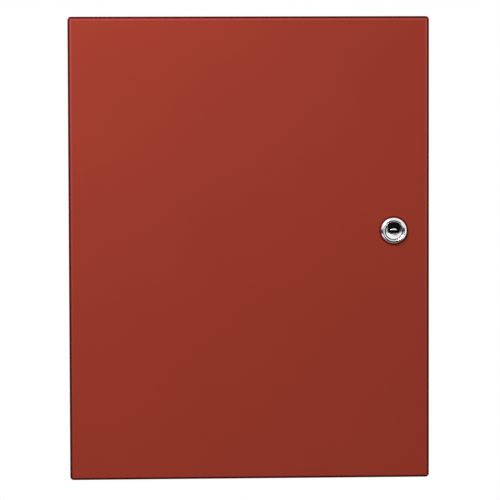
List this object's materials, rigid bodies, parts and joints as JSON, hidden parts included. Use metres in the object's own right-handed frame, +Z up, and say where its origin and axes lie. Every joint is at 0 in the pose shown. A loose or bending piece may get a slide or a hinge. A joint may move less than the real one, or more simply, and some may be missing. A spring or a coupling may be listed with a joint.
{
  "type": "fire alarm control panel",
  "caption": "Wall-mounted fire alarm control panel: red sheet-steel box with a full-height door, concealed hinge and cam lock, holding a control board, batteries and a transformer.",
  "frame": {"origin": "on the wall plane, behind the centre of the closed door", "axes": "+X to the right as seen from the room, +Y from the room into the wall, +Z up"},
  "size_m": [0.307, 0.1173, 0.394],
  "materials": {
    "enclosure_paint": "fine-textured red powder coat",
    "zinc_plated_steel": "zinc plated",
    "lock_chrome": "polished nickel-chrome plate",
    "tinned_brass": "tin plated",
    "black_rubber": "matt",
    "board_laminate": "green solder mask",
    "terminal_plastic": "moulded green",
    "pale_nylon": "natural nylon",
    "black_plastic": "moulded black",
    "grey_plastic": "moulded grey",
    "relay_plastic": "glossy blue-black",
    "battery_plastic": "moulded dark grey",
    "display_window": "unlit yellow-green display",
    "green_lens": "tinted lens",
    "red_lens": "tinted lens",
    "amber_lens": "tinted lens",
    "bare_aluminium": "extruded",
    "fuse_glass": "clear tube",
    "red_insulation": "vinyl",
    "black_insulation": "vinyl",
    "green_insulation": "vinyl",
    "core_steel": "varnished laminations",
    "winding_tape": "polyester tape"
  },
  "bodies": {
    "cabinet": {"alarm_led": "red_lens", "back_box": "enclosure_paint", "battery_cases": "battery_plastic", "battery_lead_red": "red_insulation", "battery_leads_black": "black_insulation", "battery_lids": "battery_plastic", "battery_tabs": "tinned_brass", "board_screws": "zinc_plated_steel", "board_standoffs": "zinc_plated_steel", "bonding_lug": "tinned_brass", "bonding_nut": "zinc_plated_steel", "bonding_stud": "zinc_plated_steel", "bracket_screws": "zinc_plated_steel", "button_switches": "black_plastic", "buzzer": "black_plastic", "capacitors": "black_plastic", "chips": "black_plastic", "control_board": "board_laminate", "door_bumpers": "black_rubber", "fuse_caps": "tinned_brass", "fuse_clips": "tinned_brass", "fuse_tubes": "fuse_glass", "ground_lead": "green_insulation", "headers": "pale_nylon", "heat_sink": "bare_aluminium", "hinge_box_leaf": "zinc_plated_steel", "hinge_pin": "zinc_plated_steel", "lcd_bezel": "black_plastic", "lcd_board": "board_laminate", "lcd_glass": "display_window", "lcd_spacers": "pale_nylon", "mains_block": "black_plastic", "mains_screws": "zinc_plated_steel", "power_devices": "black_plastic", "power_led": "green_lens", "relays": "relay_plastic", "tab_receptacles": "pale_nylon", "terminal_blocks": "terminal_plastic", "terminal_screws": "zinc_plated_steel", "transformer_bobbin": "pale_nylon", "transformer_bracket": "zinc_plated_steel", "transformer_core": "core_steel", "transformer_leads": "black_insulation", "transformer_winding": "winding_tape", "trouble_leds": "amber_lens", "wiring_plugs": "pale_nylon"},
    "door": {"door": "enclosure_paint", "hinge_door_leaf": "zinc_plated_steel", "lock_housing": "lock_chrome", "lock_nut": "zinc_plated_steel"},
    "lock_core": {"lock_plug": "lock_chrome", "lock_cam": "zinc_plated_steel", "cam_screw": "zinc_plated_steel"},
    "acknowledge_button": {"acknowledge_button": "grey_plastic"},
    "silence_button": {"silence_button": "grey_plastic"},
    "reset_button": {"reset_button": "grey_plastic"},
    "drill_button": {"drill_button": "grey_plastic"}
  },
  "joints": [
    {"name": "door_hinge", "type": "hinge", "parent": "cabinet", "child": "door", "pos_m": [-0.1495, -0.1103, 0], "axis": [0, 0, -1], "range_deg": [0, 110]},
    {"name": "lock_turn", "type": "hinge", "parent": "door", "child": "lock_core", "pos_m": [0.1232, -0.1143, 0.0146], "axis": [0, -1, 0], "range_deg": [0, 90]},
    {"name": "acknowledge_button_press", "type": "slide", "parent": "cabinet", "child": "acknowledge_button", "axis": [0, 1, 0], "range_m": [0, 0.0015], "stiffness_N_per_m": 500, "springref_m": -0.001},
    {"name": "silence_button_press", "type": "slide", "parent": "cabinet", "child": "silence_button", "axis": [0, 1, 0], "range_m": [0, 0.0015], "stiffness_N_per_m": 500, "springref_m": -0.001},
    {"name": "reset_button_press", "type": "slide", "parent": "cabinet", "child": "reset_button", "axis": [0, 1, 0], "range_m": [0, 0.0015], "stiffness_N_per_m": 500, "springref_m": -0.001},
    {"name": "drill_button_press", "type": "slide", "parent": "cabinet", "child": "drill_button", "axis": [0, 1, 0], "range_m": [0, 0.0015], "stiffness_N_per_m": 500, "springref_m": -0.001}
  ]
}
